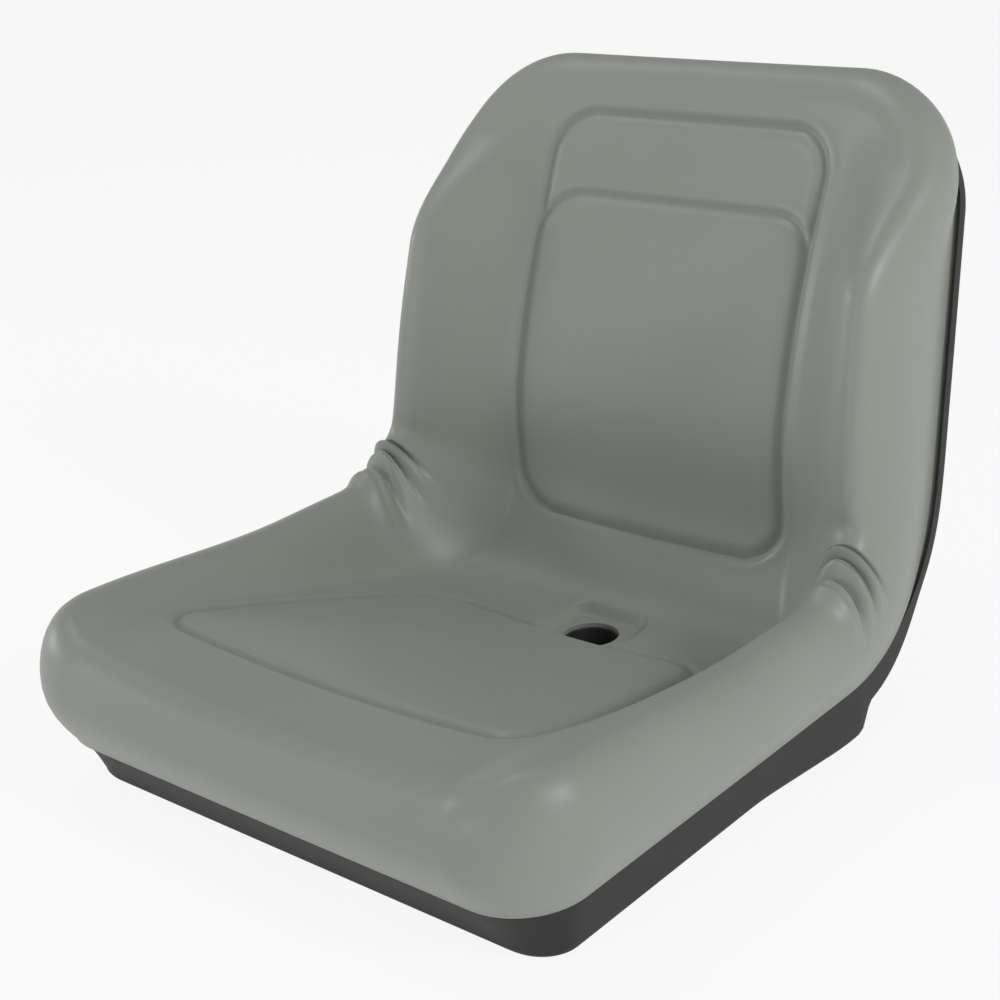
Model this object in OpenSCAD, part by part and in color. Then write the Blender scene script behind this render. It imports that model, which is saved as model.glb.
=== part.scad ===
// High-back bucket seat of a compact tractor: one moulded vinyl and foam cushion in a pressed steel pan.
// The whole seat follows one bent sheet, the rim sheet: a straight base, a round heel and a straight back.
// A place on it is [x, s]: x across the seat, s the length along the sheet from its front edge.
// A height h is measured square to the sheet, towards the sitter when positive.
// +X is the sitter's left, -Y the front, +Z up. z = 0 is the plane of the mounting pads.

/* [Rim sheet] */
// Width of the rim at the front
rim_w = 450; // [430:1:470]
// Length of the straight base, from the front edge to the heel bend
base_run = 342; // [325:1:360]
// Radius of the heel bend
heel_r = 133; // [125:1:150]
// Angle through which the heel bend turns, in degrees
heel_turn = 74; // [70:1:78]
// Length of the straight back, from the heel bend to the top edge
back_run = 284; // [260:1:310]
// How much each side of the rim draws in towards the top of the back
back_taper = 22; // [10:1:34]
// Radius of the front corners in plan
front_corner_r = 48; // [42:1:60]
// Radius of the top corners
top_corner_r = 80; // [70:1:90]
// Height of the rim's front edge above the mounting plane
rim_lift = 41; // [40:1:50]
// Rise of the rim sheet towards the back, in degrees
rim_pitch = 2.3; // [1.8:0.1:3]

/* [Cushion] */
// Height of the seat surface at the front, above the rim sheet
front_rise = 72; // [66:1:80]
// Fall of the seat surface for each millimetre towards the back
seat_fall = 0.285; // [0.25:0.005:0.3]
// Rise of the surface for each millimetre up from the crease to the lumbar support
lumbar_slope = 0.46; // [0.4:0.01:0.5]
// Rise of the surface from its middle line to the edge of the panels
panel_dish = 9; // [5:1:12]
// Height of the bolster crest at the front corners
front_crest = 94; // [86:1:100]
// Height of the bolster crest beside the seat and round the heel
side_crest = 78; // [72:1:84]
// Height of the wing crest beside the back
wing_crest = 113; // [104:1:118]
// Height of the cushion at its top edge
top_crest = 22; // [18:1:30]
// How far the side wall of the seat bulges past the rim
seat_flare = 19; // [12:1:22]
// How far the side wall of the wings bulges past the rim
wing_flare = 26; // [18:1:30]
// Distance of the crest inside the rim
crest_inset = 10; // [6:1:14]
// Height of the widest line of the side wall, as a share of the crest height
bulge_share = 0.48; // [0.4:0.01:0.55]

/* [Moulded lines] */
// Width of a moulded groove
groove_w = 9; // [7:0.5:11]
// Depth of a moulded groove
groove_d = 2.6; // [2:0.1:3.2]
// Half width of the seat panel at its front
seat_panel_w = 154; // [146:1:158]
// Half width of the seat panel at its rear
seat_panel_rear_w = 126; // [118:1:132]
// Place of the seat panel's front line, along the sheet
seat_panel_s = 66; // [62:1:74]
// Length of the seat panel
seat_panel_run = 246; // [236:1:250]
// Half width of the back panel
back_panel_w = 124; // [116:1:128]
// Place of the back panel's lower line, along the sheet
back_panel_s = 431; // [426:1:440]
// Length of the back panel
back_panel_run = 335; // [320:1:338]
// Place of the line that parts the back panel, below its top line
yoke_drop = 63; // [55:1:75]
// Number of pleats moulded into each bolster at the heel
pleats = 3; // [2:1:4]
// Pitch of the pleats along the sheet
pleat_pitch = 19; // [17:0.5:22]

/* [Drain] */
// Radius of the drain hole through the cushion
drain_r = 21.2; // [19:0.1:22]
// Place of the drain, along the sheet
drain_s = 338; // [336:1:342]
// Depth of the moulded recess round the drain
recess_d = 5; // [4:0.5:6]
// Wall of the drain tube
tube_wall = 1.8; // [1.4:0.1:2.2]
// Distance of the tube's mouth below the bottom of the recess
tube_drop = 3; // [2:0.5:5]

/* [Pan] */
// Thickness of the steel
pan_t = 2; // [1.5:0.1:2.5]
// Depth of the pan under the front of the seat
pan_depth = 40; // [36:1:40]
// Depth of the pan at its heel
heel_depth = 51; // [48:1:52]
// Depth of the pan behind the back
back_depth = 13; // [11:1:16]
// Place of the heel's rear edge, along the sheet
heel_s = 361; // [356:1:364]
// How far the side walls draw in towards their lower edge
side_draft = 5; // [4:1:10]
// How far the front wall draws in towards its lower edge
front_draft = 18; // [12:1:24]
// Clearance between the foam and the steel
foam_gap = 0.3; // [0.2:0.1:0.5]
// Depth of the stiffening beads pressed into the back
bead_d = 6; // [4:0.5:7]

/* [Mounting] */
// Hole spacing across the seat
bolt_dx = 203; // [180:1:215]
// Hole spacing from front to back
bolt_dy = 286; // [270:1:290]
// Diameter of the bolt holes in the pan
bolt_hole_d = 9; // [8.6:0.1:11]
// Thread diameter of the weld nuts
nut_thread_d = 8; // [6:1:8]
// Width across the flats of the weld nuts
nut_flats = 14; // [13:1:17]
// Height of the weld nuts
nut_h = 6.5; // [5:0.5:8]
// Width of each mounting rib and of the flat on it
pad_w = 44; // [40:1:50]
// Thickness of the stiffening bars
bar_t = 3; // [2:0.5:3.5]
// Width of the stiffening bars
bar_w = 32; // [28:1:34]

/* [Hidden] */

vinyl_grey = [0.55, 0.56, 0.53];
coated_black = [0.10, 0.10, 0.10];
tube_black = [0.05, 0.05, 0.05];
zinc_grey = [0.66, 0.67, 0.68];

// Intervals of the mesh: corner arcs, straight front, base, heel, back and top corner
arc_n = 3;
front_n = 14;
base_n = 12;
heel_n = 12;
back_n = 9;
top_arc_n = 4;
cols = front_n + 2 * arc_n;
rows = arc_n + base_n + heel_n + back_n + top_arc_n;
loop_n = 2 * (cols + rows);

heel_run = heel_r * heel_turn * PI / 180;
sheet_run = base_run + heel_run + back_run;
side_end = sheet_run - top_corner_r;
bolt_s = base_run / 2 + 34;
pad_end = 24;
heel_end = 18;

// Smooth step from 0 to 1 between a and b
function ramp(s, a, b) = let(t = min(1, max(0, (s - a) / (b - a)))) t * t * (3 - 2 * t);
// Distance past zero, with the corner at zero rounded over 2 r
function ease(x, r) = x < -r ? 0 : x > r ? x : (x + r) * (x + r) / (4 * r);
function mix(a, b, t) = a + (b - a) * t;

// Half width of the rim at s
taper_s = base_run + 0.3 * heel_run;
taper_run = sheet_run - taper_s;
function half_w(s) =
    let(u = max(0, s - taper_s))
    rim_w / 2 - back_taper * (u * u / (u + 60)) / (taper_run * taper_run / (taper_run + 60));

// Place of a point [x, s, h] of the sheet in the seat's own frame
function turned(v, a) = [v[0], v[1] * cos(a) - v[2] * sin(a), v[1] * sin(a) + v[2] * cos(a)];
function bent(x, s, h) =
    let(a = min(heel_turn, max(0, (s - base_run) / heel_r * 180 / PI)),
        over = s < base_run ? s - base_run : max(0, s - base_run - heel_run))
    [x, base_run + (heel_r - h) * sin(a) + over * cos(a), heel_r - (heel_r - h) * cos(a) + over * sin(a)];
function place(x, s, h) = turned(bent(x, s, h), rim_pitch) + [0, -bolt_s, rim_lift];
function placed(list) = [for (p = list) place(p[0], p[1], p[2])];
// Height of the mounting plane z = 0 above the base of the sheet at s
function pad_h(s) = -(rim_lift + s * sin(rim_pitch)) / cos(rim_pitch);

// Outline of the rim, as loop_n stations [x, s, outward x, outward s], from the front left corner
function front_station(j) =
    let(m = abs(j - cols / 2), side = sign(j - cols / 2), straight = rim_w / 2 - front_corner_r,
        a = max(0, m - front_n / 2) / arc_n * 45)
    [side * (straight * min(1, m / (front_n / 2)) + front_corner_r * sin(a)),
     front_corner_r * (1 - cos(a)), side * sin(a), -cos(a)];
top_w = half_w(side_end);
top_lean = atan((half_w(side_end - 5) - top_w) / 5);
top_centre = [top_w - top_corner_r * cos(top_lean), side_end - top_corner_r * sin(top_lean)];
top_s = top_centre[1] + top_corner_r;
function top_arc(a) =
    [top_centre[0] + top_corner_r * cos(a), top_centre[1] + top_corner_r * sin(a), cos(a), sin(a)];
top_mid = (90 + top_lean) / 2;
function side_s(i) =
    let(b = i - arc_n, h = b - base_n, k = h - heel_n)
    b <= base_n ? mix(front_corner_r, base_run, b / base_n)
    : h <= heel_n ? base_run + heel_run * h / heel_n
    : mix(base_run + heel_run, side_end, k / back_n);
function side_station(i) =
    i < arc_n ?
        let(a = 45 + 45 * i / arc_n)
        [rim_w / 2 - front_corner_r * (1 - sin(a)), front_corner_r * (1 - cos(a)), sin(a), -cos(a)]
    : i > rows - top_arc_n ? top_arc(mix(top_lean, top_mid, (i - rows + top_arc_n) / top_arc_n))
    : let(s = side_s(i), slope = (half_w(s - 1) - half_w(s + 1)) / 2, n = norm([1, slope]))
        [half_w(s), s, 1 / n, slope / n];
function top_station(j) =
    let(m = abs(j - cols / 2), side = sign(j - cols / 2))
    m > front_n / 2 ?
        let(p = top_arc(mix(90, top_mid, (m - front_n / 2) / arc_n))) [side * p[0], p[1], side * p[2], p[3]]
    : [side * top_centre[0] * m / (front_n / 2), top_s, 0, 1];
function mirrored(p) = [-p[0], p[1], -p[2], p[3]];
function station(k) =
    k < cols ? front_station(k)
    : k < cols + rows ? side_station(k - cols)
    : k < 2 * cols + rows ? top_station(2 * cols + rows - k)
    : mirrored(side_station(loop_n - k));
outline = [for (k = [0 : loop_n - 1]) station(k)];
// How squarely the outline at a station faces the front, 0 to 1
function frontness(p) = pow(max(0, -p[3]), 2);

// Height of the seat's surface along its middle line
drain_valley = base_run + 20;
function middle_h(s) =
    front_rise - seat_fall * ease(s - 62, 30) + (seat_fall + lumbar_slope) * ease(s - drain_valley, 40)
    - (lumbar_slope - 0.05) * ease(s - base_run - heel_run + 2, 50) - 0.22 * ease(s - sheet_run + 180, 60)
    + 0.17 * ease(s - sheet_run + 40, 20);
// Height of the bolster's crest
fade_s = sheet_run - 148;
function crest_h(s) =
    mix(front_crest, side_crest, ramp(s, 30, 0.7 * base_run))
    + (wing_crest - side_crest) * ramp(s, base_run + heel_run / 2, base_run + heel_run + 60)
    - (wing_crest - top_crest) * ramp(s, fade_s, sheet_run + 10);
// Half width of the dished middle, and the height of the surface at any place
function dish_w(s) = mix(seat_panel_w + 2, back_panel_w + 6, ramp(s, base_run - 60, base_run + 90));
function surface_h(x, s) =
    let(a = abs(x), e = dish_w(s), foot = middle_h(s) + panel_dish * (a < e ? pow(a / e, 2) : 2 * a / e - 1),
        edge = half_w(s) - crest_inset, t = ramp(a, e, edge))
    mix(foot, max(foot, crest_h(s)), t);

// A ring of points round the sheet, each set off from the outline by off and at height h
function ring(off, h) = [for (k = [0 : loop_n - 1])
    let(p = outline[k]) [p[0] + p[2] * off[k], p[1] + p[3] * off[k], h[k]]];
// Index into a ring of a place on the edge of the grid
function edge_k(i, j) =
    i == 0 ? j : j == cols ? cols + i : i == rows ? 2 * cols + rows - j : (loop_n - i) % loop_n;
// Places inside a ring, blended from its four sides
function inner(r) =
    let(s0 = r[cols][1], s1 = r[cols + rows][1], x0 = r[0][0], x1 = r[cols][0])
    [for (i = [1 : rows - 1]) for (j = [1 : cols - 1])
        let(f = r[j], t = r[edge_k(rows, j)], l = r[edge_k(i, 0)], q = r[cols + i],
            a = (q[1] - s0) / (s1 - s0), b = (f[0] - x0) / (x1 - x0),
            corner = mix(mix(r[0], r[cols], b), mix(r[edge_k(rows, 0)], r[cols + rows], b), a))
        mix(f, t, a) + mix(l, q, b) - corner];

// Triangles of a list of quads, split along their first diagonal
function halves(quads) = [for (q = quads) each [[q[0], q[1], q[2]], [q[0], q[2], q[3]]]];
// Quads between n rings of points that run downwards from index 0, and the same for rings that run upwards,
// so that the two kinds of wall are split along the same diagonals
function wall_quads(n) = [for (r = [0 : n - 2]) for (k = [0 : loop_n - 1])
    let(m = (k + 1) % loop_n, b = r * loop_n) [b + k, b + m, b + loop_n + m, b + loop_n + k]];
function wall_faces_down(n) = halves(wall_quads(n));
function wall_faces_up(n) = halves([for (q = wall_quads(n)) [q[3], q[2], q[1], q[0]]]);
// Triangles of the grid inside a ring, whose own points start at index grid
function grid_faces(last, grid) =
    let(at = function(i, j) i > 0 && i < rows && j > 0 && j < cols ?
            grid + (i - 1) * (cols - 1) + j - 1 : last + edge_k(i, j))
    halves([for (i = [0 : rows - 1]) for (j = [0 : cols - 1]) [at(i, j), at(i, j + 1), at(i + 1, j + 1), at(i + 1, j)]]);
// Triangles that close a ring by strips from side to side
function strip_faces(last) =
    let(l = function(i) last + edge_k(i, 0), r = function(i) last + edge_k(i, cols),
        fan = function(i, a, b) [for (j = [0 : cols - 1])
            [last + edge_k(i, j), last + edge_k(i, j + 1), j < cols / 2 ? a : b]],
        mid = cols / 2)
    concat(fan(0, l(1), r(1)), [[last + edge_k(0, mid), r(1), l(1)]],
        halves([for (i = [1 : rows - 2]) [l(i), r(i), r(i + 1), l(i + 1)]]),
        turned_over(fan(rows, l(rows - 1), r(rows - 1))), [[last + edge_k(rows, mid), l(rows - 1), r(rows - 1)]]);
function turned_over(faces) = [for (f = faces) [f[2], f[1], f[0]]];

// A solid closed by strips from side to side at its first and last rings
module tub(points, n) {
    polyhedron(points, concat(turned_over(strip_faces(0)), wall_faces_down(n), strip_faces((n - 1) * loop_n)),
        convexity = 10);
}

// Upper skin of the cushion: a bulging wall that rounds over into the crest
wall_rows = [0.5, 1];
round_rows = [22.5, 45, 67.5, 90];
function flare(s) =
    mix(seat_flare, wing_flare, ramp(s, 0.6 * base_run, base_run + heel_run))
    - 6 * ramp(s, fade_s, sheet_run);
crest_ring = ring([for (p = outline) -crest_inset], [for (p = outline) 0]);
crest = [for (p = crest_ring) surface_h(p[0], p[1])];
function wall_ring(q) = ring([for (p = outline) flare(p[1]) * sin(90 * q)], [for (c = crest) q * bulge_share * c]);
function round_ring(a) = ring(
    [for (p = outline) (flare(p[1]) + crest_inset) * cos(a) - crest_inset],
    [for (c = crest) c * (bulge_share + (1 - bulge_share) * sin(a))]);
function raised(list) = [for (p = list) [p[0], p[1], surface_h(p[0], p[1])]];

// Lower skin, shared by the pan and the foam: t is the distance inside the pan's outer face
lip_in = 2.5;
lip_drop = 0.3;
floor_r = 6;
foot_s = 245;
foot_slope = (heel_depth - pan_depth) / (heel_s - foot_s);
function depth(s) =
    pan_depth + foot_slope * ease(min(s, heel_s) - foot_s, 15)
    - (heel_depth - 33) * ramp(s, heel_s, heel_s + 14) - (33 - back_depth) * ramp(s, heel_s + 14, heel_s + 96);
function draft(p) = mix(side_draft * min(1, depth(p[1]) / pan_depth), front_draft, frontness(p));
function lower_ring(share, a, t) = ring(
    [for (p = outline) -lip_in - draft(p) * share - floor_r * (1 - cos(a)) - t * cos(a)],
    [for (p = outline) -mix(lip_drop, depth(p[1]) - floor_r * (a > 0 ? 1 - sin(a) : 1), share) + t * sin(a)]);

// A groove cut along a path of places, with a flat bottom and sloping sides
module groove(path, w, d) {
    last = len(path) - 1;
    profile = [[-0.7, 2], [-0.5, 0], [-0.16, -1], [0.16, -1], [0.5, 0], [0.7, 2]];
    sides = len(profile);
    points = [for (i = [0 : last])
        let(c = path[i], ahead = path[min(last, i + 1)] - path[max(0, i - 1)], n = [ahead[1], -ahead[0]] / norm(ahead))
        for (q = profile)
            let(p = c + n * w * q[0]) place(p[0], p[1], surface_h(p[0], p[1]) + q[1] * d)];
    polyhedron(points, concat(
        [[for (j = [sides - 1 : -1 : 0]) j], [for (j = [0 : sides - 1]) last * sides + j]],
        [for (i = [0 : last - 1]) for (j = [0 : sides - 1])
            let(a = i * sides + j, b = i * sides + (j + 1) % sides)
            each [[a, b + sides, a + sides], [a, b, b + sides]]]), convexity = 6);
}

// Seat and back panels are rounded outlines on the sheet
function panel_corner(c, r, from, n) = [for (i = [0 : n]) c + r * [cos(from + 90 * i / n), sin(from + 90 * i / n)]];
function seat_panel_path(r0, r1) =
    let(s0 = seat_panel_s, s1 = seat_panel_s + seat_panel_run, w0 = seat_panel_w, w1 = seat_panel_rear_w,
        right = concat([[0, s0], [w0 / 2, s0]], panel_corner([w0 - r0, s0 + r0], r0, -90, 4),
            [for (i = [1 : 4]) [mix(w0, w1, pow(i / 5, 1.6)), mix(s0 + r0, s1 - r1, i / 5)]],
            panel_corner([w1 - r1, s1 - r1], r1, 0, 4), [[w1 / 2.5, s1]]))
    right;
function back_panel_path(r) =
    let(s0 = back_panel_s, s1 = back_panel_s + back_panel_run, w = back_panel_w)
    concat([[0, s0], [w / 2, s0]], panel_corner([w - r, s0 + r], r, -90, 4),
        [for (i = [1 : 9]) [w, mix(s0 + r, s1 - r, i / 10)]],
        panel_corner([w - r, s1 - r], r, 0, 4), [[w / 2, s1], [0, s1]]);
function yoke_path() =
    let(s = back_panel_s + back_panel_run - yoke_drop, w = back_panel_w)
    concat([[0, s], [w / 2, s]], [[w - 36, s], [w - 24, s - 3], [w - 12, s - 12], [w - 2, s - 30]]);
function pleat_path(s) =
    let(w = half_w(s)) [for (i = [0 : 5]) [mix(w - 62, w - 4, i / 5), s + 5 * sin(36 * i)]];

module both_sides() {
    children();
    mirror([1, 0, 0]) children();
}

module drain_axis() {
    p = place(0, drain_s, 0);
    translate([0, p[1], 0]) children();
}
recess_floor = place(0, drain_s, middle_h(drain_s) - recess_d)[2];

module cushion() {
    rounded = concat([for (q = wall_rows) each wall_ring(q)], [for (a = round_rows) each round_ring(a)]);
    upper_n = len(rounded) / loop_n;
    upper = concat(ring([for (p = outline) -lip_in - pan_t - foam_gap], [for (p = outline) 0]),
        [for (p = outline) [p[0], p[1], 0]], rounded);
    grid = raised(inner(crest_ring));
    foot = under_rings(pan_t + foam_gap);
    under_n = len(foot) / loop_n;
    top = len(upper) + len(foot);
    points = placed(concat(flipped_rings(foot), upper, grid));
    color(vinyl_grey) difference() {
        polyhedron(points, concat(strip_faces(0), wall_faces_up(under_n + upper_n + 2),
            turned_over(grid_faces(top - loop_n, top))), convexity = 10);
        both_sides() {
            groove(seat_panel_path(30, 38), groove_w, groove_d);
            groove(back_panel_path(32), groove_w, groove_d);
            groove(yoke_path(), groove_w, groove_d);
            for (i = [0 : pleats - 1])
                groove(pleat_path(base_run + heel_run / 2 - 14 + (i - 1) * pleat_pitch), 7, 3.4);
        }
        drain_axis() {
            cylinder(h = 200, r = drain_r, $fn = 64);
            hull() for (x = [-1, 1]) for (y = [-1, 1])
                translate([x * (drain_r + 3), y * (drain_r - 1), recess_floor]) cylinder(h = 40, r1 = 9, r2 = 15, $fn = 24);
        }
        both_sides() rib(pan_t + foam_gap, 30);
    }
}

// The tub of the pan, t inside its outer face: rings from its lower edge round the floor radius and up the wall
function under_rings(t) = concat(lower_ring(0.5, 0, t), lower_ring(1, 0, t), lower_ring(1, 45, t), lower_ring(1, 90, t));
function flipped_rings(list) =
    let(n = len(list) / loop_n) [for (r = [n - 1 : -1 : 0]) for (k = [0 : loop_n - 1]) list[r * loop_n + k]];
module pan_body(t, above) {
    top = above > 0 ? ring([for (p = outline) -lip_in - t], [for (p = outline) above]) : [];
    rings = concat(top, lower_ring(0, 0, t), under_rings(t));
    tub(placed(rings), len(rings) / loop_n);
}

// Mounting rib pressed down to the mounting plane, d inside its outer face
module rib(d, h) {
    x = bolt_dx / 2;
    y0 = -bolt_dy / 2 - pad_end;
    y1 = bolt_dy / 2 + heel_end;
    w = pad_w / 2 - 0.4 * d;
    hull() {
        translate([x - w, y0 + d, d]) cube([2 * w, y1 - y0 - 2 * d, 0.01]);
        translate([x - w - h, y0 + d - h, d + h]) cube([2 * w + 2 * h, y1 - y0 - 2 * d + h, 0.01]);
    }
}

module seat_pan() {
    color(coated_black) difference() {
        union() {
            pan_body(0, 0);
            both_sides() rib(0, 12);
        }
        pan_body(pan_t, 30);
        both_sides() rib(pan_t, 30);
        bolt_places() translate([0, 0, -10]) cylinder(h = 30, d = bolt_hole_d, $fn = 32);
        drain_axis() translate([0, 0, -10]) cylinder(h = 40, r = drain_r, $fn = 64);
    }
}

module drain_tube() {
    top = recess_floor - tube_drop;
    color(tube_black) drain_axis() rotate_extrude($fn = 64)
        translate([drain_r - foam_gap - tube_wall, 0]) square([tube_wall, top]);
}

module bolt_places() {
    for (x = [-1, 1]) for (y = [-1, 1]) translate([x * bolt_dx / 2, y * bolt_dy / 2, 0]) children();
}

module stiffener_bar(side) {
    color(coated_black) translate([side * bolt_dx / 2, 0, pan_t]) difference() {
        translate([-bar_w / 2, -bolt_dy / 2 - 16, 0]) cube([bar_w, bolt_dy + 26, bar_t]);
        for (y = [-1, 1]) translate([0, y * bolt_dy / 2, -1]) cylinder(h = bar_t + 2, d = bolt_hole_d, $fn = 32);
    }
}
module stiffener_bar_left() { stiffener_bar(1); }
module stiffener_bar_right() { stiffener_bar(-1); }

module weld_nuts() {
    color(zinc_grey) bolt_places() translate([0, 0, pan_t + bar_t]) difference() {
        cylinder(h = nut_h, d = nut_flats / cos(30), $fn = 6);
        translate([0, 0, -1]) cylinder(h = nut_h + 2, d = nut_thread_d, $fn = 32);
    }
}

cushion();
seat_pan();
drain_tube();
stiffener_bar_left();
stiffener_bar_right();
weld_nuts();
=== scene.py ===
import math

import bmesh
import bpy
from mathutils import Matrix, Vector


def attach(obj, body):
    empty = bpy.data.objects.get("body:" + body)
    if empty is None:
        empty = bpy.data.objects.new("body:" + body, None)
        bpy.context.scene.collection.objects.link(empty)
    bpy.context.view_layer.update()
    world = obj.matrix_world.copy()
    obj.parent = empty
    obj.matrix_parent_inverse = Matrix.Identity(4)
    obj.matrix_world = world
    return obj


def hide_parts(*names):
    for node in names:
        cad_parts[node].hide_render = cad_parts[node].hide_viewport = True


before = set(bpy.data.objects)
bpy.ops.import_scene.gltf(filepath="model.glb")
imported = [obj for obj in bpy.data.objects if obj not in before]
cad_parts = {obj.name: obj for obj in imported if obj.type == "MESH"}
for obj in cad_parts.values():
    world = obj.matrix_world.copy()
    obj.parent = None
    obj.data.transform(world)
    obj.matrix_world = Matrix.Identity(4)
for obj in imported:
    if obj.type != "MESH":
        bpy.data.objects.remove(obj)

# The seat follows one bent rim sheet, as in the part's source. Lengths here are in millimetres.
# A place on the sheet is x across the seat and s along it, and h is the height square to it.
MM = 0.001
RIM_W = 450.0
BASE_RUN = 342.0
HEEL_R = 133.0
HEEL_TURN = math.radians(74)
BASE_EASE = 15.0
BACK_EASE = 48.0
BACK_RUN = 284.0
BACK_TAPER = 22.0
FRONT_CORNER_R = 48.0
TOP_CORNER_R = 80.0
RIM_LIFT = 41.0
RIM_PITCH = math.radians(2.3)

FRONT_RISE = 72.0
SEAT_FALL = 0.285
LUMBAR_SLOPE = 0.46
PANEL_DISH = 9.0
FRONT_CREST = 94.0
SIDE_CREST = 78.0
WING_CREST = 118.0
TOP_CREST = 26.0
SEAT_FLARE = 19.0
WING_FLARE = 8.0
TOP_FLARE = 19.0
HEEL_CREST = 99.0
CREST_INSET = 10.0
BULGE_SHARE = 0.48
WING_BULGE_SHARE = 0.60
BACK_EDGE_IN = 6.0
CREST_BLEND = 13.0

LINE_W = 8.0
LINE_D = 2.8
SEAT_PANEL_W = 166.0
SEAT_PANEL_REAR_W = 126.0
SEAT_PANEL_S = 66.0
SEAT_PANEL_RUN = 246.0
BACK_PANEL_W = 124.0
BACK_PANEL_S = 431.0
BACK_PANEL_RUN = 335.0
YOKE_DROP = 63.0
PANEL_SWELL = 1.4
PLEATS = 3
PLEAT_PITCH = 29.0
PLEAT_REACH = 40.0
PLEAT_MIDDLE_S = 372.0
PLEAT_D = 7.5

DRAIN_R = 21.2
DRAIN_S = 338.0
RECESS_D = 5.0
RECESS_MOST_D = 7.0
RECESS_HALF_X = 34.0
RECESS_HALF_Y = 30.0
RECESS_CORNER_R = 13.0

PAN_T = 2.0
PAN_DEPTH = 40.0
HEEL_DEPTH = 51.0
BACK_DEPTH = 13.0
HEEL_S = 361.0
STEP_DEPTH = 33.0
STEP_RUN = 14.0
STEP_END = 96.0
FOOT_S = 245.0
SIDE_DRAFT = 5.0
FRONT_DRAFT = 18.0
FOAM_GAP = 0.3
LIP_IN = 2.5
BACK_LIP_IN = 0.4
LIP_DROP = 0.3
FLOOR_R = 6.0

BOLT_DX = 203.0
BOLT_DY = 286.0
BOLT_HOLE_D = 9.0
PAD_W = 44.0
PAD_END = 24.0
HEEL_END = 18.0

HEEL_RUN = HEEL_R * HEEL_TURN
SHEET_RUN = BASE_RUN + HEEL_RUN + BACK_RUN
HEEL_END_S = BASE_RUN + HEEL_RUN
SIDE_END = SHEET_RUN - TOP_CORNER_R
BOLT_S = BASE_RUN / 2 + 34
TAPER_S = BASE_RUN + 0.3 * HEEL_RUN
TAPER_RUN = SHEET_RUN - TAPER_S
FADE_S = SHEET_RUN - 148

# Camera of the photograph: its place, the way it looks, and its focal length
CAMERA_AT = (863.7, -914.0, 664.4)
CAMERA_AZIMUTH = math.radians(-42.178)
CAMERA_DIP = math.radians(20.476)
CAMERA_ROLL = math.radians(-3.735)
CAMERA_LENS = 70.2
SENSOR_W = 36.0

WALL_LIGHT = 0.92
CEILING_LIGHT = 0.26

VINYL = (0.315, 0.335, 0.300)
COATED_BLACK = (0.022, 0.022, 0.023)


def mix(a, b, t):
    return a + (b - a) * t


def ramp(s, a, b):
    t = min(1.0, max(0.0, (s - a) / (b - a)))
    return t * t * (3 - 2 * t)


def ease(x, r):
    return 0.0 if x < -r else x if x > r else (x + r) ** 2 / (4 * r)


def bell(x, width):
    return math.exp(-(x / width) ** 2)


def half_w(s):
    u = max(0.0, s - TAPER_S)
    return RIM_W / 2 - BACK_TAPER * (u * u / (u + 60)) / (TAPER_RUN ** 2 / (TAPER_RUN + 60))


def bent_sheet():
    """Place and slope of the sheet at each whole s, with the bend eased in and out."""
    line, y, z, a = [], 0.0, 0.0, 0.0
    for i in range(int(SHEET_RUN) + 60):
        line.append((y, z, a))
        s = i + 0.5
        start = ramp(s, BASE_RUN - BASE_EASE, BASE_RUN + BASE_EASE)
        turn = (start - ramp(s, HEEL_END_S - BACK_EASE, HEEL_END_S + BACK_EASE)) / HEEL_R
        y, z, a = y + math.cos(a + turn / 2), z + math.sin(a + turn / 2), a + turn
    return line


SHEET = bent_sheet()


def place(x, s, h):
    """A place on the sheet as a point of the seat's own frame."""
    i = min(len(SHEET) - 2, max(0, int(s)))
    low, high = SHEET[i], SHEET[i + 1]
    y, z, a = (mix(low[k], high[k], s - i) for k in range(3))
    y, z = y - h * math.sin(a), z + h * math.cos(a)
    c, d = math.cos(RIM_PITCH), math.sin(RIM_PITCH)
    return Vector((x, y * c - z * d - BOLT_S, y * d + z * c + RIM_LIFT))


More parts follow.
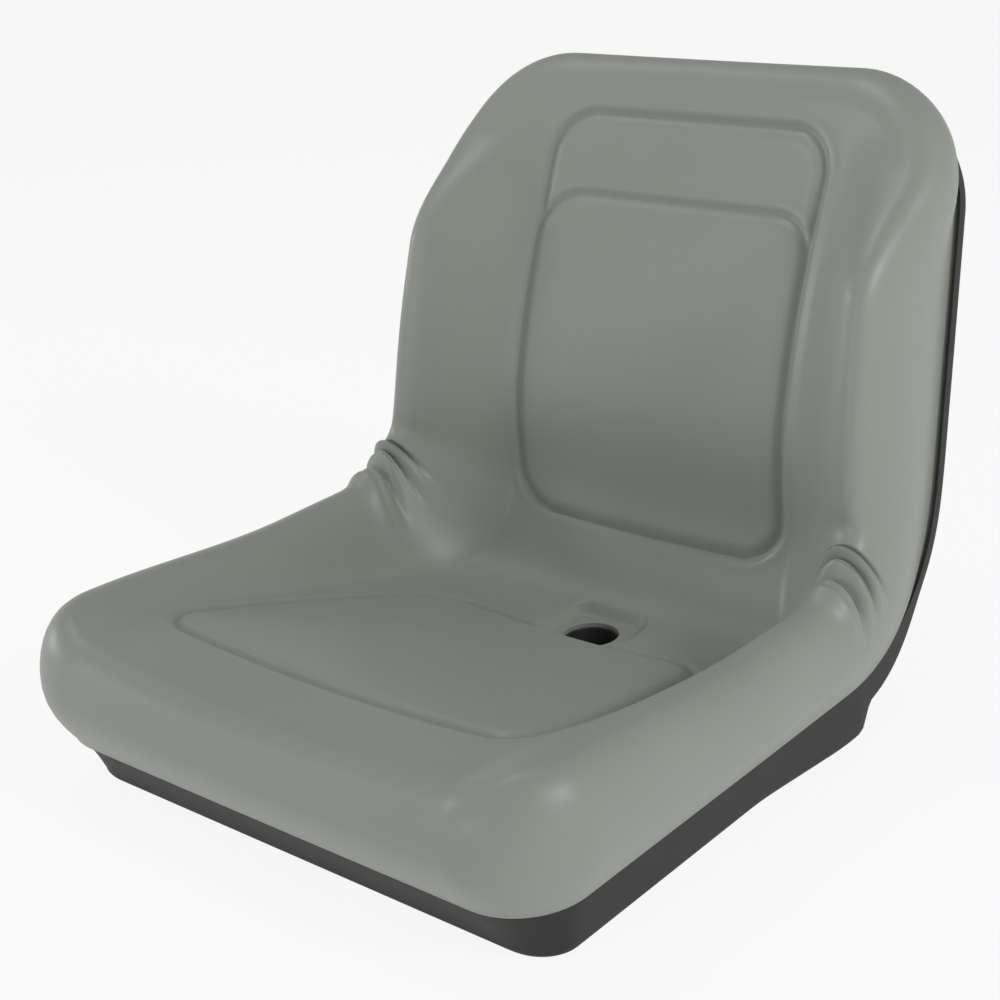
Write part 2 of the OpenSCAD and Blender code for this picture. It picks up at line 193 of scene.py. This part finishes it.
class Rim:
    """The rim's outline as stations (x, s, outward x, outward s), and the mesh that its rings make."""

    def __init__(self, arc, front, base, heel, back, top_arc):
        self.arc, self.front, self.base, self.heel = arc, front, base, heel
        self.back, self.top_arc = back, top_arc
        self.cols = front + 2 * arc
        self.rows = arc + base + heel + back + top_arc
        self.loop = 2 * (self.cols + self.rows)
        self.lean = math.atan((half_w(SIDE_END - 5) - half_w(SIDE_END)) / 5)
        self.centre_x = half_w(SIDE_END) - TOP_CORNER_R * math.cos(self.lean)
        self.centre_s = SIDE_END - TOP_CORNER_R * math.sin(self.lean)
        self.mid = (math.pi / 2 + self.lean) / 2
        self.outline = [self.station(k) for k in range(self.loop)]

    def front_station(self, j):
        m, side = abs(j - self.cols / 2), math.copysign(1, j - self.cols / 2)
        straight = RIM_W / 2 - FRONT_CORNER_R
        a = max(0.0, m - self.front / 2) / self.arc * math.pi / 4
        x = straight * min(1.0, m / (self.front / 2)) + FRONT_CORNER_R * math.sin(a)
        return side * x, FRONT_CORNER_R * (1 - math.cos(a)), side * math.sin(a), -math.cos(a)

    def corner(self, a):
        c, d = math.cos(a), math.sin(a)
        return self.centre_x + TOP_CORNER_R * c, self.centre_s + TOP_CORNER_R * d, c, d

    def side_s(self, i):
        b = i - self.arc
        h = b - self.base
        if b <= self.base:
            return mix(FRONT_CORNER_R, BASE_RUN, b / self.base)
        if h <= self.heel:
            return BASE_RUN + HEEL_RUN * h / self.heel
        return mix(BASE_RUN + HEEL_RUN, SIDE_END, (h - self.heel) / self.back)

    def side_station(self, i):
        if i < self.arc:
            a = math.pi / 4 * (1 + i / self.arc)
            x = RIM_W / 2 - FRONT_CORNER_R * (1 - math.sin(a))
            return x, FRONT_CORNER_R * (1 - math.cos(a)), math.sin(a), -math.cos(a)
        if i > self.rows - self.top_arc:
            return self.corner(mix(self.lean, self.mid, (i - self.rows + self.top_arc) / self.top_arc))
        s = self.side_s(i)
        slope = (half_w(s - 1) - half_w(s + 1)) / 2
        n = math.hypot(1, slope)
        return half_w(s), s, 1 / n, slope / n

    def top_station(self, j):
        m, side = abs(j - self.cols / 2), math.copysign(1, j - self.cols / 2)
        if m > self.front / 2:
            x, s, nx, ns = self.corner(mix(math.pi / 2, self.mid, (m - self.front / 2) / self.arc))
            return side * x, s, side * nx, ns
        return side * self.centre_x * m / (self.front / 2), self.centre_s + TOP_CORNER_R, 0.0, 1.0

    def station(self, k):
        if k < self.cols:
            return self.front_station(k)
        if k < self.cols + self.rows:
            return self.side_station(k - self.cols)
        if k < 2 * self.cols + self.rows:
            return self.top_station(2 * self.cols + self.rows - k)
        x, s, nx, ns = self.side_station(self.loop - k)
        return -x, s, -nx, ns

    def ring(self, off, h):
        """A ring of points, off(station) outside the rim and at height h(station)."""
        return [(p[0] + p[2] * off(p), p[1] + p[3] * off(p), h(p)) for p in self.outline]

    def edge(self, i, j):
        if i == 0:
            return j
        if j == self.cols:
            return self.cols + i
        if i == self.rows:
            return 2 * self.cols + self.rows - j
        return (self.loop - i) % self.loop

    def inner(self, ring):
        """Places inside a ring, blended from its four sides."""
        cols, rows = self.cols, self.rows
        s0, s1, x0, x1 = ring[cols][1], ring[cols + rows][1], ring[0][0], ring[cols][0]
        c00, c01 = ring[0], ring[cols]
        c10, c11 = ring[self.edge(rows, 0)], ring[cols + rows]
        found = []
        for i in range(1, rows):
            left, right = ring[self.edge(i, 0)], ring[cols + i]
            a = (right[1] - s0) / (s1 - s0)
            for j in range(1, cols):
                f, t = ring[j], ring[self.edge(rows, j)]
                b = (f[0] - x0) / (x1 - x0)
                found.append(tuple(
                    mix(f[k], t[k], a) + mix(left[k], right[k], b)
                    - mix(mix(c00[k], c01[k], b), mix(c10[k], c11[k], b), a) for k in (0, 1)))
        return found

    def wall(self, count):
        """Quads between rings that run upwards from the first."""
        return [(r * self.loop + k, r * self.loop + (k + 1) % self.loop,
                 (r + 1) * self.loop + (k + 1) % self.loop, (r + 1) * self.loop + k)
                for r in range(count - 1) for k in range(self.loop)]

    def lid(self, last, grid):
        """Quads that close the top ring, over a grid of points inside it."""
        def at(i, j):
            inside = 0 < i < self.rows and 0 < j < self.cols
            return grid + (i - 1) * (self.cols - 1) + j - 1 if inside else last + self.edge(i, j)
        return [(at(i, j), at(i, j + 1), at(i + 1, j + 1), at(i + 1, j))
                for i in range(self.rows) for j in range(self.cols)]

    def strips(self, last):
        """Faces that close a ring by strips from side to side, seen from above."""
        cols, rows, mid = self.cols, self.rows, self.cols // 2
        left = [last + self.edge(i, 0) for i in range(rows + 1)]
        right = [last + self.edge(i, cols) for i in range(rows + 1)]

        def fan(i, a, b):
            return [(last + self.edge(i, j), last + self.edge(i, j + 1), a if j < mid else b)
                    for j in range(cols)]
        faces = fan(0, left[1], right[1]) + [(last + mid, right[1], left[1])]
        faces += [(left[i], right[i], right[i + 1], left[i + 1]) for i in range(1, rows - 1)]
        faces += turned_over(fan(rows, left[rows - 1], right[rows - 1]))
        return faces + [(last + self.edge(rows, mid), left[rows - 1], right[rows - 1])]


def turned_over(faces):
    return [tuple(reversed(f)) for f in faces]


def middle_h(s):
    """Height of the seat's surface along its middle line."""
    return (FRONT_RISE - SEAT_FALL * ease(s - 62, 30)
            + (SEAT_FALL + LUMBAR_SLOPE) * ease(s - BASE_RUN - 20, 40)
            - (LUMBAR_SLOPE - 0.05) * ease(s - BASE_RUN - HEEL_RUN + 2, 50)
            - 0.22 * ease(s - SHEET_RUN + 180, 60) + 0.17 * ease(s - SHEET_RUN + 40, 20))


def crest_h(s):
    """Height of the crest of the bolsters and wings."""
    return (mix(FRONT_CREST, SIDE_CREST, ramp(s, 30, 0.7 * BASE_RUN))
            + (HEEL_CREST - SIDE_CREST) * ramp(s, BASE_RUN - 42, BASE_RUN + 51)
            + (WING_CREST - HEEL_CREST) * ramp(s, BASE_RUN + 23, HEEL_END_S + 104)
            - (WING_CREST - TOP_CREST) * ramp(s, FADE_S, SHEET_RUN + 10))


def higher(a, b, blend):
    """The higher of two heights, with the change from one to the other rounded."""
    return (a + b + math.hypot(a - b, blend)) / 2


def surface_h(x, s):
    a = abs(x)
    e = mix(SEAT_PANEL_W + 2, BACK_PANEL_W + 6, ramp(s, BASE_RUN - 60, BASE_RUN + 90))
    foot = middle_h(s) + PANEL_DISH * ((a / e) ** 2 if a < e else 2 * a / e - 1)
    crest = higher(foot, crest_h(s), CREST_BLEND * on_back(s))
    return mix(foot, crest, ramp(a, e, half_w(s) - CREST_INSET))


def rounded_box(x, y, half_x, half_y, r):
    """Distance outside a box with round corners, less than zero inside it."""
    qx, qy = abs(x) - half_x + r, abs(y) - half_y + r
    return math.hypot(max(qx, 0.0), max(qy, 0.0)) + min(max(qx, qy), 0.0) - r


def seat_panel(x, s):
    t = min(1.0, max(0.0, (s - SEAT_PANEL_S) / SEAT_PANEL_RUN))
    share = SEAT_PANEL_W / mix(SEAT_PANEL_W, SEAT_PANEL_REAR_W, t ** 1.6)
    half_run = SEAT_PANEL_RUN / 2
    return rounded_box(x * share, s - SEAT_PANEL_S - half_run, SEAT_PANEL_W, half_run, mix(25, 40, t)) / share


def back_panel(x, s, drop):
    half_run = (BACK_PANEL_RUN - drop) / 2
    return rounded_box(x, s - BACK_PANEL_S - half_run, BACK_PANEL_W, half_run, 34)


def pleat_wave(s, inward):
    """Height of the pleats at s, on a bolster, inward from the rim by that much."""
    bow = 6 * ramp(inward, 0, PLEAT_REACH)
    first = PLEAT_MIDDLE_S - (PLEATS - 1) / 2 * PLEAT_PITCH
    wave = 0.0
    for i in range(PLEATS):
        d = s + bow - first - i * PLEAT_PITCH
        wave += 0.7 * PLEAT_D * bell(d + 0.5 * PLEAT_PITCH, 0.30 * PLEAT_PITCH)
        wave -= PLEAT_D * bell(d, 0.13 * PLEAT_PITCH) + 0.4 * PLEAT_D * bell(d + 0.42 * PLEAT_PITCH, 2.6)
    return wave * (1 - ramp(inward, 0.5 * PLEAT_REACH, 1.15 * PLEAT_REACH))


def moulded(x, s):
    """Height that the moulded lines, panels and pleats add, and how deep in a line the place is."""
    seat, low, high = seat_panel(x, s), back_panel(x, s, YOKE_DROP), back_panel(x, s, 0)
    line = min(abs(seat), abs(low), abs(high))
    swell = PANEL_SWELL * (ramp(-seat, 0, 16) + ramp(-low, 0, 16)) + 0.6 * ramp(-high, 0, 12)
    lips = 0.5 * bell(line - LINE_W, 0.45 * LINE_W)
    groove = bell(line, 0.42 * LINE_W)
    return swell + lips - LINE_D * groove + pleat_wave(s, half_w(s) - abs(x)), groove


def on_back(s):
    """0 on the seat, 1 on the back, and in between round the heel."""
    return ramp(s, BASE_RUN, HEEL_END_S)


def flare(s):
    wing = mix(SEAT_FLARE, WING_FLARE, ramp(s, 0.6 * BASE_RUN, HEEL_END_S))
    return mix(wing, TOP_FLARE, ramp(s, FADE_S, SHEET_RUN))


def bulge_share(s):
    """Height of the widest line of the wall, as a share of the crest height."""
    return mix(BULGE_SHARE, WING_BULGE_SHARE, on_back(s) - ramp(s, FADE_S, SHEET_RUN))


def lip_in(s):
    return mix(LIP_IN, BACK_LIP_IN, on_back(s))


def depth(s):
    """Depth of the pan below the rim sheet."""
    slope = (HEEL_DEPTH - PAN_DEPTH) / (HEEL_S - FOOT_S)
    return (PAN_DEPTH + slope * ease(min(s, HEEL_S) - FOOT_S, 15)
            - (HEEL_DEPTH - STEP_DEPTH) * ramp(s, HEEL_S, HEEL_S + STEP_RUN)
            - (STEP_DEPTH - BACK_DEPTH) * ramp(s, HEEL_S + STEP_RUN, HEEL_S + STEP_END))


def lower_ring(rim, share, a, t):
    """Ring of the pan's skin, t inside its outer face: share down the wall, a round the floor's radius."""
    c, d = math.cos(a), math.sin(a)

    def draft(p):
        side = SIDE_DRAFT * min(1.0, depth(p[1]) / PAN_DEPTH) * (1 - on_back(p[1]))
        return mix(side, FRONT_DRAFT, max(0.0, -p[3]) ** 2)

    def drop(p):
        return mix(LIP_DROP, depth(p[1]) - FLOOR_R * (1 - d if a > 0 else 1), share)
    return rim.ring(lambda p: -lip_in(p[1]) - draft(p) * share - FLOOR_R * (1 - c) - t * c,
                    lambda p: -drop(p) + t * d)


def under_rings(rim, t):
    """Rings of the pan's skin from its floor up to half its wall."""
    steps = [lower_ring(rim, 1, math.radians(a), t) for a in (90, 67.5, 45, 22.5)]
    return steps + [lower_ring(rim, 1, 0, t), lower_ring(rim, 0.5, 0, t)]


def new_piece(name, points, faces):
    mesh = bpy.data.meshes.new(name)
    mesh.from_pydata([tuple(v * MM for v in p) for p in points], [], faces)
    piece = bpy.data.objects.new(name, mesh)
    bpy.context.scene.collection.objects.link(piece)
    return piece


def combined(piece, cutter, operation):
    """The piece after a boolean with the cutter, which is used up."""
    modifier = piece.modifiers.new("cut", "BOOLEAN")
    modifier.operation, modifier.solver, modifier.object = operation, "EXACT", cutter
    evaluated = piece.evaluated_get(bpy.context.evaluated_depsgraph_get())
    mesh = bpy.data.meshes.new_from_object(evaluated)
    piece.modifiers.remove(modifier)
    piece.data = mesh
    bpy.data.objects.remove(cutter)
    return piece


def smoothed(piece, angle):
    piece.data.shade_smooth()
    piece.data.set_sharp_from_angle(angle=math.radians(angle))
    return piece


def rounds(r, n=96):
    return [(r * math.cos(2 * math.pi * k / n), r * math.sin(2 * math.pi * k / n)) for k in range(n)]


def add_prism(points, faces, low, high, z0, z1):
    """Adds a closed prism between two outlines of as many points, low at z0 and high at z1."""
    n, first = len(low), len(points)
    points += [(x, y, z0) for x, y in low] + [(x, y, z1) for x, y in high]
    faces += [tuple(first + k for k in reversed(range(n))), tuple(first + n + k for k in range(n))]
    faces += [(first + k, first + (k + 1) % n, first + n + (k + 1) % n, first + n + k) for k in range(n)]


def rectangle(x0, x1, y0, y1):
    return [(x0, y0), (x1, y0), (x1, y1), (x0, y1)]


def add_ribs(points, faces, d, h):
    """Adds the two mounting ribs, d inside their outer face and h high."""
    y0, y1, w = -BOLT_DY / 2 - PAD_END, BOLT_DY / 2 + HEEL_END, PAD_W / 2 - 0.4 * d
    for side in (-1, 1):
        x = side * BOLT_DX / 2
        add_prism(points, faces, rectangle(x - w, x + w, y0 + d, y1 - d),
                  rectangle(x - w - h, x + w + h, y0 + d - h, y1 - d), d, d + h)


def add_drain(points, faces, z0, z1):
    y = place(0, DRAIN_S, 0).y
    circle = [(p, q + y) for p, q in rounds(DRAIN_R)]
    add_prism(points, faces, circle, circle, z0, z1)


def upper_rings(rim, crest):
    """Rings of the cushion's wall, from the rim up over the round edge to the crest."""
    rings = []
    height = dict(zip(rim.outline, crest))

    def lip(h):
        return 1.0 * bell(h - 2.2, 1.8)
    for q in (0.0, 0.03, 0.06, 0.1, 0.2, 0.4, 0.6, 0.8, 1.0):
        def out(p):
            edge = -BACK_EDGE_IN * on_back(p[1])
            return mix(edge, flare(p[1]), math.sin(math.pi / 2 * q)) + lip(q * bulge_share(p[1]) * height[p])
        rings.append(rim.ring(out, lambda p: q * bulge_share(p[1]) * height[p]))
    for k in range(1, 11):
        c, d = math.cos(math.pi / 20 * k), math.sin(math.pi / 20 * k)

        def fold(p):
            return pleat_wave(p[1], CREST_INSET * (1 - c)) * ramp(d, 0, 0.75)
        rings.append(rim.ring(
            lambda p: (flare(p[1]) + CREST_INSET) * c - CREST_INSET + fold(p) * c,
            lambda p: height[p] * mix(bulge_share(p[1]), 1, d) + fold(p) * d))
    return rings


def sunk_to_recess(point, floor_z, drain_y):
    """The point lowered to the floor of the drain recess, where it lies over it."""
    d = rounded_box(point.x, point.y - drain_y, RECESS_HALF_X, RECESS_HALF_Y, RECESS_CORNER_R)
    inside = 1 - ramp(d, -3.5, 3.5)
    lowered = max(floor_z, point.z - RECESS_MOST_D)
    point.z = mix(point.z, min(point.z, lowered), inside)
    return point


def make_cushion(rim):
    crest_ring = rim.ring(lambda p: -CREST_INSET, lambda p: 0)
    crest = [surface_h(p[0], p[1]) for p in crest_ring]
    rings = under_rings(rim, PAN_T + FOAM_GAP)
    rings.append(rim.ring(lambda p: min(-lip_in(p[1]) - PAN_T, -BACK_EDGE_IN * on_back(p[1])) - FOAM_GAP,
                          lambda p: 0))
    rings += upper_rings(rim, crest)
    floor_z, drain_y = place(0, DRAIN_S, middle_h(DRAIN_S) - RECESS_D).z, place(0, DRAIN_S, 0).y
    points, groove_shade_mask = [], []
    top = len(rings) - 1
    for ring in rings:
        points += [place(*p) for p in ring]
    groove_shade_mask += [0.0] * len(points)
    for x, s in rim.inner(crest_ring):
        add, groove = moulded(x, s)
        points.append(sunk_to_recess(place(x, s, surface_h(x, s) + add), floor_z, drain_y))
        groove_shade_mask.append(groove)
    faces = turned_over(rim.strips(0)) + rim.wall(len(rings))
    faces += rim.lid(top * rim.loop, len(rings) * rim.loop)
    cushion = new_piece("cushion_moulded", points, faces)
    # Painted shade: each point's groove value, stored to darken the vinyl colour in the moulded lines.
    crease = cushion.data.attributes.new("crease", "FLOAT", "POINT")
    crease.data.foreach_set("value", groove_shade_mask)
    cut_points, cut_faces = [], []
    add_drain(cut_points, cut_faces, -1, 200)
    add_ribs(cut_points, cut_faces, PAN_T + FOAM_GAP, 30)
    combined(cushion, new_piece("cutter", cut_points, cut_faces), "DIFFERENCE")
    smoothed(cushion, 50)
    cushion.data.materials.clear()
    cushion.data.materials.append(vinyl())
    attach(cushion, "root")
    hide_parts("cushion")
    return cushion


def tub(name, rim, t, above):
    """The pan's outside, or its hollow t inside, closed at the top at height above."""
    rings = under_rings(rim, t) + [lower_ring(rim, 0, 0, t)]
    if above:
        rings.append(rim.ring(lambda p: -lip_in(p[1]) - t, lambda p: above))
    points = [place(*p) for ring in rings for p in ring]
    faces = turned_over(rim.strips(0)) + rim.wall(len(rings)) + rim.strips((len(rings) - 1) * rim.loop)
    return new_piece(name, points, faces)


def make_pan(rim):
    pan = tub("seat_pan_pressed", rim, 0, 0)
    rib_points, rib_faces = [], []
    add_ribs(rib_points, rib_faces, 0, 12)
    combined(pan, new_piece("ribs", rib_points, rib_faces), "UNION")
    combined(pan, tub("hollow", rim, PAN_T, 30), "DIFFERENCE")
    points, faces = [], []
    add_ribs(points, faces, PAN_T, 30)
    add_drain(points, faces, -10, 60)
    combined(pan, new_piece("hollow_ribs", points, faces), "DIFFERENCE")
    points, faces = [], []
    for x in (-1, 1):
        for y in (-1, 1):
            hole = [(p + x * BOLT_DX / 2, q + y * BOLT_DY / 2) for p, q in rounds(BOLT_HOLE_D / 2, 48)]
            add_prism(points, faces, hole, hole, -10, 10)
    combined(pan, new_piece("holes", points, faces), "DIFFERENCE")
    smoothed(pan, 28)
    dress(pan, powder_coat(), "seat_pan")
    return pan


def dress(piece, material, node):
    piece.data.materials.clear()
    piece.data.materials.append(material)
    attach(piece, "root")
    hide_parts(node)


def make_finished(node, name, material, edge):
    """A copy of a small rigid node with its edges broken by edge millimetres."""
    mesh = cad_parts[node].data.copy()
    form = bmesh.new()
    form.from_mesh(mesh)
    bmesh.ops.remove_doubles(form, verts=form.verts, dist=0.002 * MM)
    bmesh.ops.dissolve_limit(form, angle_limit=math.radians(0.5), verts=form.verts, edges=form.edges)
    form.to_mesh(mesh)
    form.free()
    piece = bpy.data.objects.new(name, mesh)
    bpy.context.scene.collection.objects.link(piece)
    bevel = piece.modifiers.new("edge", "BEVEL")
    bevel.width, bevel.segments, bevel.limit_method = edge * MM, 2, "ANGLE"
    bevel.angle_limit = math.radians(40)
    mesh = bpy.data.meshes.new_from_object(piece.evaluated_get(bpy.context.evaluated_depsgraph_get()))
    piece.modifiers.clear()
    piece.data = mesh
    smoothed(piece, 35)
    dress(piece, material, node)
    return piece


class Value:
    """A shader socket that plain arithmetic is written with."""

    def __init__(self, shader, socket):
        self.shader, self.socket = shader, socket

    def math(self, operation, a, b):
        return self.shader.node("ShaderNodeMath", {"operation": operation}, {0: a, 1: b})

    def __add__(self, other):
        return self.math("ADD", self, other)

    __radd__ = __add__

    def __sub__(self, other):
        return self.math("SUBTRACT", self, other)

    def __rsub__(self, other):
        return self.math("SUBTRACT", other, self)

    def __mul__(self, other):
        return self.math("MULTIPLY", self, other)

    __rmul__ = __mul__


class Shader:
    """The nodes of one material or of the world."""

    def __init__(self, owner):
        owner.use_nodes = True
        self.owner, self.tree = owner, owner.node_tree
        self.tree.nodes.clear()

    def node(self, kind, settings=None, inputs=None, output=0):
        made = self.tree.nodes.new(kind)
        for key, value in (settings or {}).items():
            setattr(made, key, value)
        for key, value in (inputs or {}).items():
            if isinstance(value, Value):
                self.tree.links.new(value.socket, made.inputs[key])
            else:
                made.inputs[key].default_value = value
        return Value(self, made.outputs[output]) if made.outputs else made

    def place(self):
        return self.node("ShaderNodeTexCoord", output=3)

    def noise(self, scale, detail=2.0, roughness=0.5):
        return self.node("ShaderNodeTexNoise", {}, {
            "Vector": self.place(), "Scale": scale, "Detail": detail, "Roughness": roughness})

    def colour(self, factor, a, b):
        return self.node("ShaderNodeMix", {"data_type": "RGBA"}, {0: factor, 6: (*a, 1), 7: b}, output=2)

    def finish(self, kind, surface):
        self.node(kind, {}, {0: surface})
        return self.owner


def scaled(colour, share):
    return tuple(c * share for c in colour)


def vinyl():
    """Moulded vinyl: faint tone changes, painted shade darkening the moulded groove lines, a fine leather
    grain and a soft sheen.
    """
    shader = Shader(bpy.data.materials.new("moulded_vinyl"))
    cloud = shader.noise(9.0, 3.0)
    tone = shader.colour(cloud, scaled(VINYL, 0.94), (*scaled(VINYL, 1.06), 1))
    crease = shader.node("ShaderNodeAttribute", {"attribute_name": "crease"}, output=2)
    # Painted shade: the colour darkens towards 0.55 of the vinyl in the moulded groove lines.
    base = shader.node("ShaderNodeMix", {"data_type": "RGBA"},
                       {0: crease * 0.35, 6: tone, 7: (*scaled(VINYL, 0.55), 1)}, output=2)
    cells = shader.node("ShaderNodeTexVoronoi", {"feature": "SMOOTH_F1"},
                        {"Vector": shader.place(), "Scale": 900.0})
    pores = shader.noise(2600.0, 2.0)
    height = cells * 0.7 + pores * 0.3
    bump = shader.node("ShaderNodeBump", {}, {"Strength": 0.22, "Distance": 0.00012, "Height": height})
    surface = shader.node("ShaderNodeBsdfPrincipled", {}, {
        "Base Color": base, "Roughness": 0.34 + cloud * 0.10 + pores * 0.04, "Normal": bump,
        "Specular IOR Level": 0.42, "Sheen Weight": 0.08, "Sheen Roughness": 0.5})
    return shader.finish("ShaderNodeOutputMaterial", surface)


def powder_coat():
    """Black powder coat on steel, with its fine orange peel."""
    shader = Shader(bpy.data.materials.new("black_powder_coat"))
    cloud, peel = shader.noise(14.0, 2.0), shader.noise(700.0, 2.0)
    base = shader.colour(cloud, scaled(COATED_BLACK, 0.8), (*scaled(COATED_BLACK, 1.25), 1))
    bump = shader.node("ShaderNodeBump", {}, {"Strength": 0.35, "Distance": 0.0002, "Height": peel})
    surface = shader.node("ShaderNodeBsdfPrincipled", {}, {
        "Base Color": base, "Roughness": 0.46 + peel * 0.12, "Normal": bump, "Specular IOR Level": 0.45})
    return shader.finish("ShaderNodeOutputMaterial", surface)


def black_plastic():
    shader = Shader(bpy.data.materials.new("black_tube_plastic"))
    grain = shader.noise(1200.0, 2.0)
    base = shader.colour(grain, (0.014, 0.014, 0.014), (0.024, 0.024, 0.024, 1))
    bump = shader.node("ShaderNodeBump", {}, {"Strength": 0.2, "Distance": 0.0001, "Height": grain})
    surface = shader.node("ShaderNodeBsdfPrincipled", {}, {
        "Base Color": base, "Roughness": 0.42 + grain * 0.1, "Normal": bump})
    return shader.finish("ShaderNodeOutputMaterial", surface)


def zinc():
    shader = Shader(bpy.data.materials.new("zinc_plate"))
    cloud = shader.noise(260.0, 3.0)
    base = shader.colour(cloud, (0.50, 0.50, 0.48), (0.68, 0.68, 0.66, 1))
    surface = shader.node("ShaderNodeBsdfPrincipled", {}, {
        "Base Color": base, "Roughness": 0.28 + cloud * 0.16, "Metallic": 1.0})
    return shader.finish("ShaderNodeOutputMaterial", surface)


def make_camera():
    a, e, r = CAMERA_AZIMUTH, CAMERA_DIP, CAMERA_ROLL
    forward = Vector((math.cos(e) * math.sin(a), math.cos(e) * math.cos(a), -math.sin(e)))
    side = forward.cross(Vector((0, 0, 1))).normalized()
    up = side.cross(forward)
    right, above = side * math.cos(r) + up * math.sin(r), up * math.cos(r) - side * math.sin(r)
    data = bpy.data.cameras.new("camera")
    data.lens, data.sensor_width, data.clip_start = CAMERA_LENS, SENSOR_W, 0.01
    camera = bpy.data.objects.new("camera", data)
    camera.matrix_world = Matrix.Translation(Vector(CAMERA_AT) * MM) @ Matrix(
        (right, above, -forward)).transposed().to_4x4()
    bpy.context.scene.collection.objects.link(camera)
    bpy.context.scene.camera = camera


def make_lamp(name, at, size, power):
    data = bpy.data.lights.new(name, "AREA")
    data.shape, data.size, data.energy = "DISK", size, power
    lamp = bpy.data.objects.new(name, data)
    lamp.location = at
    aim = Vector((0, 0.03, 0.2)) - Vector(at)
    lamp.rotation_euler = aim.to_track_quat("-Z", "Y").to_euler()
    bpy.context.scene.collection.objects.link(lamp)


def make_stage():
    points = [(x, y, -0.2) for x, y in rounds(20000.0, 64)]
    floor = new_piece("floor", points, [tuple(range(64))])
    shader = Shader(bpy.data.materials.new("pale_floor"))
    seen = shader.node("ShaderNodeLightPath", output="Is Camera Ray")
    matt = shader.node("ShaderNodeBsdfDiffuse", {}, {"Color": (0.88, 0.88, 0.88, 1)})
    glow = shader.node("ShaderNodeEmission", {}, {"Color": (1, 1, 1, 1), "Strength": 1.0})
    surface = shader.node("ShaderNodeMixShader", {}, {0: seen * 0.9 + (1 - seen) * 0.4, 1: matt, 2: glow})
    floor.data.materials.append(shader.finish("ShaderNodeOutputMaterial", surface))


def make_world():
    world = bpy.data.worlds.new("soft_room")
    bpy.context.scene.world = world
    shader = Shader(world)
    seen = shader.node("ShaderNodeLightPath", output="Is Camera Ray")
    direction = shader.node("ShaderNodeTexCoord", output="Generated")
    height = shader.node("ShaderNodeSeparateXYZ", {}, {0: direction}, output="Z")
    walls = shader.node("ShaderNodeMapRange", {"interpolation_type": "SMOOTHSTEP"}, {
        "Value": height, "From Min": 0.0, "From Max": 0.38, "To Min": WALL_LIGHT, "To Max": CEILING_LIGHT})
    surface = shader.node("ShaderNodeBackground", {}, {
        "Color": (1, 1, 1, 1), "Strength": seen + (1 - seen) * walls})
    shader.finish("ShaderNodeOutputWorld", surface)


def make_light():
    make_lamp("overhead", (-0.8, 0.0, 2.3), 0.6, 7)
    make_lamp("left", (-2.2, -0.9, 0.8), 0.4, 10)
    make_lamp("right", (2.3, 0.0, 1.5), 0.6, 22)
    make_lamp("front", (-0.5, -2.5, 0.6), 0.5, 5)


def main():
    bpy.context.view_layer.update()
    bpy.context.scene.view_settings.view_transform = "Standard"
    make_camera()
    make_stage()
    make_world()
    make_light()
    rim = Rim(12, 166, 140, 82, 97, 24)
    make_cushion(rim)
    make_pan(Rim(10, 40, 30, 48, 30, 14))
    make_finished("drain_tube", "drain_tube_moulded", black_plastic(), 0.4)
    coat = powder_coat()
    for side in ("left", "right"):
        make_finished(f"stiffener_bar_{side}", f"stiffener_bar_{side}_coated", coat, 0.4)
    make_finished("weld_nuts", "weld_nuts_plated", zinc(), 0.5)


main()
